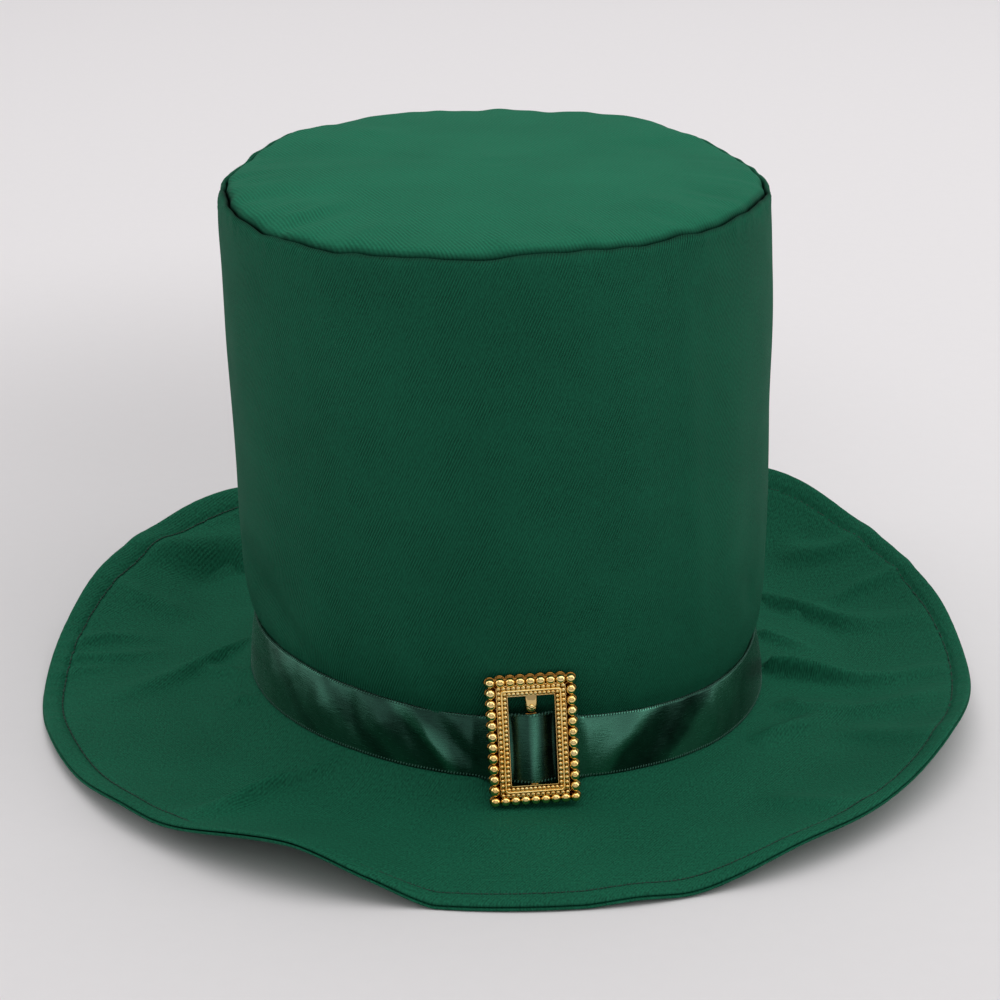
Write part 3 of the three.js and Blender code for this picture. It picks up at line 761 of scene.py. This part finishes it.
# Crown tip: a disc whose rim is turned down into the seam
def crown_tip():
    height, radius = along_profile(TIP_PROFILE, TIP_ROWS)
    rim = TIP_PROFILE["radius"][0]
    follow = (radius / rim)[:, None] ** 2
    turn, level = angles[None, :], height[:, None]
    x, y = circle(turn, radius[:, None])
    near = smooth(radius, 60, 88)[:, None] * smooth(-radius, -90.2, -86)[:, None]
    front = 0.35 + 0.65 * smooth(-np.sin(np.radians(turn)), -0.6, 0.5)
    lift = near * front * (0.28 * ripple(turn, (9, 14, 23)) + 0.14 * ripple(turn, (41, 58)))
    lift = lift + creased(x, y, TIP_CREASES)
    at_seam = smooth(radius, 80, 90)[:, None]
    lift = lift + at_seam * seam_up
    top = crown_points(turn, radius[:, None] + at_seam * seam_in, level, follow)
    top[..., 2] += lift
    back = slice(None, 3, -2)
    inset = radius[back, None] - CLOTH / 2 + at_seam[back] * seam_in
    under = crown_points(turn, inset, level[back] - CLOTH, follow[back])
    under[..., 2] += lift[back]
    foot = np.full((1, 1), TIP_PROFILE["height"][0])
    turned = crown_points(turn, rim - CLOTH + seam_in[None, :], foot, 1)
    rings = np.concatenate([under, turned, top])
    middle = axis_at(192)
    caps = np.array([[middle, 0, TIP_TOP - CLOTH], [middle, 0, TIP_TOP]])

    def cloth_map(ring, column):
        return rings[ring, column % COLUMNS][..., :2]

    # Painted shade of the top seam on the tip's turned-down rim
    seam_shade_share = np.concatenate([0 * height[back], [1], smooth(radius, 89.6, 90.3)])
    return wall("crown_tip_cloth", rings, tip_twill, cloth_map, caps, np.outer(seam_shade_share, seam_shade_shown))


# Brim: two layers that share one shape, with a turned and topstitched hem
around_brim = np.linspace(-180, 180, BRIM_COLUMNS, endpoint=False)


def brim_base(angle, radius):
    """The underside's height before its creases and puckers, and the distance from the edge."""
    reach = around(BRIM_EDGE, "reach", angle)
    lift = np.maximum(0, around(BRIM_EDGE, "lift", angle))
    fall = around(BRIM_FALL, "width", angle)
    rest, width, out = fall + BRIM_REST, reach - BRIM_FOOT, radius - BRIM_FOOT
    seam = FOOT_HEIGHT + around(SEAM_WAVES, "foot", angle)
    base = seam * np.clip(1 - np.maximum(0, out) / fall, 0, 1) ** 2
    base = base + lift * (np.maximum(0, out - rest) / (width - rest)) ** BRIM_CURL
    return base, reach - radius


def brim_folds(angle, radius, from_edge, puckers):
    """How far creases, faint waves and the hem's puckers raise the brim."""
    x, y = on_plan(angle, radius)
    fold = FOLD_DEPTH * creased(x, y, BRIM_CREASES) * smooth(radius, 91, 97)
    waves = 1 + np.sin(x / 11 + 1.3 * np.sin(y / 17)) * np.sin(y / 13 + 0.7)
    fold = fold + 0.22 * waves * smooth(radius, 95, 104)
    amount = around(HEM_PUCKER, "amount", angle)
    hem = hill(from_edge - 4.5, 3.6) + 0.5 * hill(from_edge - 11, 5)
    return fold + 0.3 * amount * puckers * hem


fine_rows = np.concatenate([[0, 1.5], np.linspace(2.9, 63, 44), np.linspace(64, 75.2, 15)])
fine_rows /= BRIM_ROW_SPAN
coarse_rows = np.linspace(1, 0, 12) * 74.5 / BRIM_ROW_SPAN
hem_puckers = ripple(around_brim, (83, 121, 167, 199))
stitch_wander = 0.25 * ripple(around_brim, (5, 11, 17)) - 1.8 * bump(apart(around_brim, 30), 85)


def brim_point(angle, share, out, height, face):
    """A point of the brim: share of its width, how far on out from there, height in its stack."""
    reach = around(BRIM_EDGE, "reach", angle)
    radius = BRIM_INNER + share * (reach - BRIM_INNER) + out
    base, from_edge = brim_base(angle, radius)
    fold = brim_folds(angle, radius, from_edge, hem_puckers)
    low = np.maximum(0, base + fold)
    puff = 0.6 * np.sin(np.pi * np.clip(from_edge / HEM, 0, 1)) ** 0.7
    groove = 0.85 * hill(from_edge - HEM - stitch_wander, 0.9)
    return np.stack([*on_plan(angle, radius), low + height + face * (puff - groove)], -1)


def brim_layer(name, top, material):
    """A layer of the brim: the upper one, with its seen face up, or the one under it."""
    low, high = (CLOTH + SEAM_GAP, STACK) if top else (0, CLOTH)
    seen, hidden = (high, low) if top else (low, high)
    turn = around_brim[None, :]
    further, inward, relief = (0, -1, 1) if top else (0.35, 1, -0.6)
    face = brim_point(turn, fine_rows[:, None], 0, seen, relief)
    if not top:
        face[..., 2] = np.maximum(face[..., 2], 0)
    # The rounded lip at the hem: how far out, and the depth in the cloth
    edge = np.array([[-0.35, 0.02], [-0.1, 0.14], [0.05, 0.36], [0.05, 0.64], [-0.1, 0.86]])
    lips = [brim_point(turn, 1.0, out + further, seen + inward * depth * CLOTH, 0)
            for out, depth in edge]
    back = brim_point(turn, coarse_rows[:, None], 0, hidden, 0)
    rings = np.concatenate([face, np.concatenate(lips), back])
    if not top:
        rings = rings[::-1].copy()

    def cloth_map(ring, column):
        return rings[ring, column % BRIM_COLUMNS][..., :2]

    return wall(name, rings, material, cloth_map)


# Ribbon: round the crown, behind the buckle's sides and over its bar
def ribbon_angles():
    """Angles of the ribbon's columns, closer together at the buckle."""
    steps = np.arange(-180, 180, 0.75)
    far = steps[np.abs(steps - BUCKLE_ANGLE) > 14]
    return np.sort(np.concatenate([far, BUCKLE_ANGLE + np.arange(-14, 14.01, 0.25)]))


ribbon_turn = ribbon_angles()
satin_lines = to_cloth(SATIN_CREASES, RIBBON_PER_DEGREE, RIBBON_WIDTH)


def ribbon_point(angle, share, raised):
    """A point of the ribbon at a share of its width up, raised off the crown."""
    angle, share, raised = np.broadcast_arrays(angle, share, raised)
    height = CROWN_FOOT + share * RIBBON_HEIGHT
    radius = np.interp(height, SIDE_PROFILE["height"], SIDE_PROFILE["radius"])
    flat = creased(angle * RIBBON_PER_DEGREE, share * RIBBON_WIDTH, satin_lines)
    puff = flat * bump(share - 0.5, 0.72) * 0.75
    across = np.radians(apart(angle, BUCKLE_ANGLE)) * BUCKLE_DISTANCE
    pull = 1 - smooth(np.abs(across), RIBBON_SIDE_HALF, RIBBON_LEAVE)
    on_crown = crown_points(angle, radius + SEAM_GAP + raised + puff, height)
    up = RIBBON_BAR_LOW + share * (RIBBON_BAR_HIGH - RIBBON_BAR_LOW)
    crest = RIBBON_BAR_HALF - 1.4 * np.minimum(1, raised)
    over = (np.hypot(across, crest) - crest) / (RIBBON_SIDE_HALF - 1.8)
    depth = RIBBON_ON_BAR + (RIBBON_BEHIND - 1 - RIBBON_ON_BAR) * np.minimum(1, over)
    there = on_buckle(across, up, depth + raised)
    pull = pull[..., None]
    return on_crown * (1 - pull) + there * pull


def band():
    turn = ribbon_turn[None, :]
    share = np.linspace(0, 1, 25)[:, None]
    rise = 0.25 + 0.75 * bump(share - 0.5, 0.56) ** 0.25
    outside = ribbon_point(turn, share, rise)
    inside = ribbon_point(turn, share[::-3], 0.0)
    rings = np.concatenate([outside, inside])
    level = np.concatenate([share[:, 0], share[::-3, 0]]) * RIBBON_HEIGHT
    run = np.append(ribbon_turn, ribbon_turn[0] + 360) * RIBBON_PER_DEGREE

    def cloth_map(ring, column):
        return np.stack([run[column], level[ring]], -1)

    return wall("band_satin", rings, satin_cloth, cloth_map)


# Small things, many in one mesh: stitches, dark marks of painted shade in the needle holes, and beads
def ball(rings, sides):
    """A ball of radius 1."""
    points = [(0, 0, -1)]
    for ring in range(1, rings):
        tilt = math.pi * ring / rings
        for side in range(sides):
            turn, out = 2 * math.pi * side / sides, math.sin(tilt)
            points.append((out * math.cos(turn), out * math.sin(turn), -math.cos(tilt)))
    points.append((0, 0, 1))
    last = len(points) - 1
    faces = [(0, 1 + (s + 1) % sides, 1 + s) for s in range(sides)]
    faces += ring_faces(rings - 1, sides, rings - 2, 1)
    top = 1 + (rings - 2) * sides
    faces += [(last, top + s, top + (s + 1) % sides) for s in range(sides)]
    return np.array(points), faces


def merged(parts):
    """Several shapes as one: its points and faces."""
    points, faces, shift = [], [], 0
    for made, found in parts:
        points.append(made)
        faces += [tuple(v + shift for v in face) for face in found]
        shift += len(made)
    return np.concatenate(points), faces


def unit(vectors):
    return vectors / np.linalg.norm(vectors, axis=1)[:, None]


def along_line(points):
    """The way along a closed line at each of its points."""
    return unit(np.roll(points, -1, 0) - np.roll(points, 1, 0))


def many(name, shape, places, frames, sizes, material):
    """Copies of one small shape: places, three axes each, and half sizes along them."""
    points, faces = shape
    turned = np.einsum("pk,nk,nkx->npx", points, sizes, frames) + places[:, None, :]
    shift = np.arange(len(places)) * len(points)
    all_faces = [tuple(v + s for v in face) for s in shift.tolist() for face in faces]
    return mesh_object(name, turned.reshape(-1, 3), all_faces, material)


def line_frames(points, normals):
    """Axes at points of a closed line: along it, beside it, and out of the cloth."""
    along = along_line(points)
    beside = unit(np.cross(normals, along))
    return np.stack([along, beside, np.cross(along, beside)], 1)


def brim_line(step, from_edge, height, face):
    """Places, axes and normals along a line on the brim, at a distance from its edge."""
    count = int(2 * math.pi * (BRIM_REACH - from_edge) / step)
    turn = np.linspace(-180, 180, count, endpoint=False)
    puckers = np.interp(turn, around_brim, hem_puckers, period=360)
    edge = around(BRIM_EDGE, "reach", turn)
    wander = np.interp(turn, around_brim, stitch_wander, period=360)
    found = []
    for inward in (0.6, 0, -0.6):
        radius = edge - from_edge - wander - inward
        base, off = brim_base(turn, radius)
        z = np.maximum(0, base + brim_folds(turn, radius, off, puckers)) + height
        found.append(np.stack([*on_plan(turn, radius), z], -1))
    normals = unit(np.cross(found[2] - found[0], along_line(found[1])) * face)
    return found[1], line_frames(found[1], normals), normals


def topstitching(name, height, face):
    """Stitches sunk into the hem, and between them near-black marks as painted shade of the needle
    holes.
    """
    places, frames, normals = brim_line(STITCH_PITCH, HEM, height, face)
    sizes = np.tile(STITCH, (len(places), 1))
    sizes[:, 0] *= random.uniform(0.9, 1.08, len(places))
    stitches = many(name, ball(4, 6), places - 0.28 * normals, frames, sizes, dark_thread)
    between = (places + np.roll(places, -1, 0)) / 2
    holes = np.tile(NEEDLE_HOLE, (len(places), 1))
    marks = many(name + "_holes", ball(4, 6), between - 0.3 * normals, frames, holes, painted_hole_shade)
    return stitches, marks


def ribbon_ticks(name, share, length):
    """The picot of fine loops along an edge of the ribbon."""
    turn = np.linspace(-180, 180, PICOTS, endpoint=False) + 0.12
    raised = np.full(PICOTS, 0.55)
    places = ribbon_point(turn, np.full(PICOTS, share), raised)
    above = ribbon_point(turn, np.full(PICOTS, share + 0.05), raised)
    along = along_line(places)
    slant = unit(unit(above - places) + 0.35 * along)
    out = unit(np.cross(along, slant))
    frames = np.stack([slant, np.cross(out, slant), out], 1)
    sizes = np.tile([length, 0.3, 0.28], (PICOTS, 1))
    sizes[:, 0] *= random.uniform(0.75, 1.15, PICOTS)
    return many(name, ball(4, 6), places, frames, sizes, edge_thread)


# Buckle, all of it in one mesh
def ring_path(half_across, half_up, corner):
    """Points round a rectangle with rounded corners, anticlockwise."""
    points = []
    for x, y, start in ((1, -1, -90), (1, 1, 0), (-1, 1, 90), (-1, -1, 180)):
        for step in range(4):
            turn = math.radians(start + 30 * step)
            points.append((x * (half_across - corner) + corner * math.cos(turn),
                           y * (half_up - corner) + corner * math.sin(turn)))
    return np.array(points)


def frame_solid(profile, corner):
    """A frame whose section is a closed loop of rows: growth from the window's edge, and out."""
    rings = []
    for grow, out in profile:
        rounding = max(0.15, corner + grow * 0.25)
        path = ring_path(WINDOW_ACROSS / 2 + grow, WINDOW_UP / 2 + grow, rounding)
        rings.append(np.concatenate([path, np.full((len(path), 1), out)], 1))
    points = np.array(rings)
    count, size = points.shape[:2]
    return points.reshape(-1, 3), ring_faces(count, size, count)


def row_centres(half_across, half_up, across, up):
    """Places round a rectangle: x, y and 1 on an upright side."""
    xs = np.linspace(-half_across, half_across, across)
    ys = np.linspace(-half_up, half_up, up)
    ends = [(x, y, 0) for x in xs for y in (-half_up, half_up)]
    return np.array(ends + [(x, y, 1) for y in ys[1:-1] for x in (-half_across, half_across)])


def beads(half_across, half_up, across, up, out, radius, rings, sides, flat=1.0):
    """A row of beads round a rectangle; between its corners they lengthen to meet."""
    points, faces = ball(rings, sides)
    pitch_across, pitch_up = 2 * half_across / (across - 1), 2 * half_up / (up - 1)
    made = []
    for x, y, upright in row_centres(half_across, half_up, across, up):
        corner = abs(x) > half_across - 0.01 and abs(y) > half_up - 0.01
        size = np.array([radius, radius, radius * flat])
        if not corner:
            pitch = pitch_up if upright else pitch_across
            size[1 if upright else 0] = min(radius * 1.15, 0.5 * pitch * 1.02)
        made.append((points * size + (x, y, out), faces))
    return merged(made)


def knob(place, size):
    """A ball stretched to three half sizes."""
    points, faces = ball(8, 16)
    return points * size + place, faces


def scallops(half_across, up, out, radius):
    """The plate's wavy edge above the top row of beads."""
    points, faces = ball(6, 16)
    middles = np.linspace(-half_across, half_across, BEADS_ACROSS)[1:-1]
    return merged([(points * (radius, radius, 0.6) + (x, up, out), faces) for x in middles])


def block(low, high, rounding):
    """A bar with rounded long edges and ends."""
    mesh = bpy.data.meshes.new("block")
    shape = bmesh.new()
    bmesh.ops.create_cube(shape, size=1)
    low, high = np.array(low, float), np.array(high, float)
    for vertex in shape.verts:
        vertex.co = Vector((np.array(vertex.co) + 0.5) * (high - low) + low)
    bmesh.ops.bevel(
        shape, geom=shape.edges[:], offset=rounding, segments=3, profile=0.5, affect="EDGES")
    shape.to_mesh(mesh)
    shape.free()
    points = np.array([v.co[:] for v in mesh.vertices])
    faces = [tuple(p.vertices) for p in mesh.polygons]
    bpy.data.meshes.remove(mesh)
    return points, faces


def buckle():
    """Plate and ridges, four rows of beads, wavy top edge, bar, tongue with two knobs, and foot."""
    half_across, half_up = SPAN_ACROSS / 2, SPAN_UP / 2
    inner_across, inner_up = WINDOW_ACROSS / 2, WINDOW_UP / 2
    body = ((0, 0.1), (0, 2.1), (0.15, 2.25), (0.4, 1.7), (1.5, 1.7), (1.7, 2.85), (1.95, 3.05),
            (2.25, 2.85), (2.4, 1.8), (3.35, 1.6), (3.5, 2.2), (3.7, 2.3), (3.9, 1.8), (4.2, 1.1),
            (5.6, 1.1), (6.0, 0.9), (6.0, 0.2), (5.8, 0.0), (0.2, 0.0))
    parts = [
        frame_solid(body, 0.3),
        beads(half_across, half_up, BEADS_ACROSS, BEADS_UP, 1.9, BEAD / 2, 10, 16),
        beads(half_across, half_up, BEADS_ACROSS, BEADS_UP, 0.6, 1.98, 6, 16, 0.3),
        scallops(half_across, half_up + 0.45, 0.5, 1.95),
        beads(inner_across + 2.95, inner_up + 2.95, 14, 23, 2.1, 0.78, 6, 10),
        beads(inner_across + 1.0, inner_up + 1.0, 13, 22, 2.2, 0.7, 6, 10),
        block((-1.9, -18, -1.1), (1.9, 8.9, 0), 0.5),
        block((-2, 10.8, 0), (2, 16.2, 2.3), 0.9),
        knob((0, 10.9, 0.8), (2, 1.8, 1.8)),
        knob((0, 11.4, 2.3), (0.9, 0.9, 0.7)),
        block((-1.4, -16.2, -0.3), (1.4, -14.7, 1.2), 0.5),
    ]
    points, faces = merged(parts)
    return mesh_object("buckle_gold", on_buckle(*points.T), faces, gold_skin)


def finish_piece(piece, slot, replaced=None):
    """Puts a piece on the hat's one body, in place of a node of the solids, which it hides. slot is not
    used.
    """
    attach(piece, "root")
    if replaced:
        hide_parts(replaced)
    return piece


side = finish_piece(crown_side(), "twill", "crown_side")
tip = finish_piece(crown_tip(), "twill", "crown_tip")
upper = finish_piece(brim_layer("brim_upper_cloth", True, brim_twill), "twill", "brim_upper")
under = finish_piece(brim_layer("brim_under_cloth", False, under_twill), "twill", "brim_under")
ribbon = finish_piece(band(), "satin", "band_ribbon")
clasp = finish_piece(buckle(), "gold", "buckle")
for stitches, slot in (
    (topstitching("topstitch_upper", STACK - 0.02, 1), "twill"),
    (topstitching("topstitch_under", 0.05, -1), "twill"),
    ((ribbon_ticks("band_picot_top", 0.985, 0.75),), "satin"),
    ((ribbon_ticks("band_picot_foot", 0.025, 0.6),), "satin"),
):
    for piece in stitches:
        finish_piece(piece, slot)


# Floor, light and camera
def floor(reach=9000, sides=96, under_hat=0.05):
    """A wide round sheet, just clear of the hat."""
    turn = np.linspace(0, 2 * math.pi, sides, endpoint=False)
    low = np.full(sides, -under_hat)
    points = np.stack([reach * np.cos(turn), reach * np.sin(turn), low], -1)
    paper = surface("floor_paper", FLOOR_TONE, 0.75)
    mesh_object("floor", points, [list(range(sides))], paper)


def area_light(name, place, aim, size, power):
    """A soft lamp, its places and sizes in metres and its power in watts."""
    data = bpy.data.lights.new(name, "AREA")
    data.shape = "RECTANGLE"
    data.size, data.size_y = size
    data.energy = power
    lamp = new_object(name, data)
    lamp.location = place
    lamp.rotation_euler = (Vector(aim) - Vector(place)).to_track_quat("-Z", "Y").to_euler()


floor()
area_light("overhead", (0.45, 0.4, 2.2), (0.45, 0.4, 0), (3.1, 3.2), 42)
area_light("front", (0.2, -1.9, 1.5), (0, 0, 0.05), (1.8, 1.0), 2)
area_light("side_right", (1.7, -0.2, 0.8), (0, 0, 0.08), (0.8, 1.2), 5)
area_light("side_left", (-1.7, 0.0, 0.8), (0, 0, 0.08), (0.8, 1.2), 4.4)

world = bpy.data.worlds.new("studio")
world.use_nodes = True
backdrop = world.node_tree.nodes["Background"]
backdrop.inputs["Color"].default_value = (0.97, 0.95, 0.97, 1)
backdrop.inputs["Strength"].default_value = 0.41
bpy.context.scene.world = world
bpy.context.scene.view_settings.view_transform = "Standard"

CAMERA_PLACE = (-0.0023, -0.824, 0.401)
CAMERA_PITCH = 21.9
CAMERA_ROLL = 0.22
CAMERA_LENS = 90
camera_data = bpy.data.cameras.new("camera")
camera_data.lens = CAMERA_LENS
camera_data.sensor_width = 36
camera = new_object("camera", camera_data)
pitched = Matrix.Rotation(math.radians(90 - CAMERA_PITCH), 4, "X")
rolled = Matrix.Rotation(math.radians(CAMERA_ROLL), 4, "Z")
camera.matrix_world = Matrix.Translation(CAMERA_PLACE) @ pitched @ rolled
bpy.context.scene.camera = camera
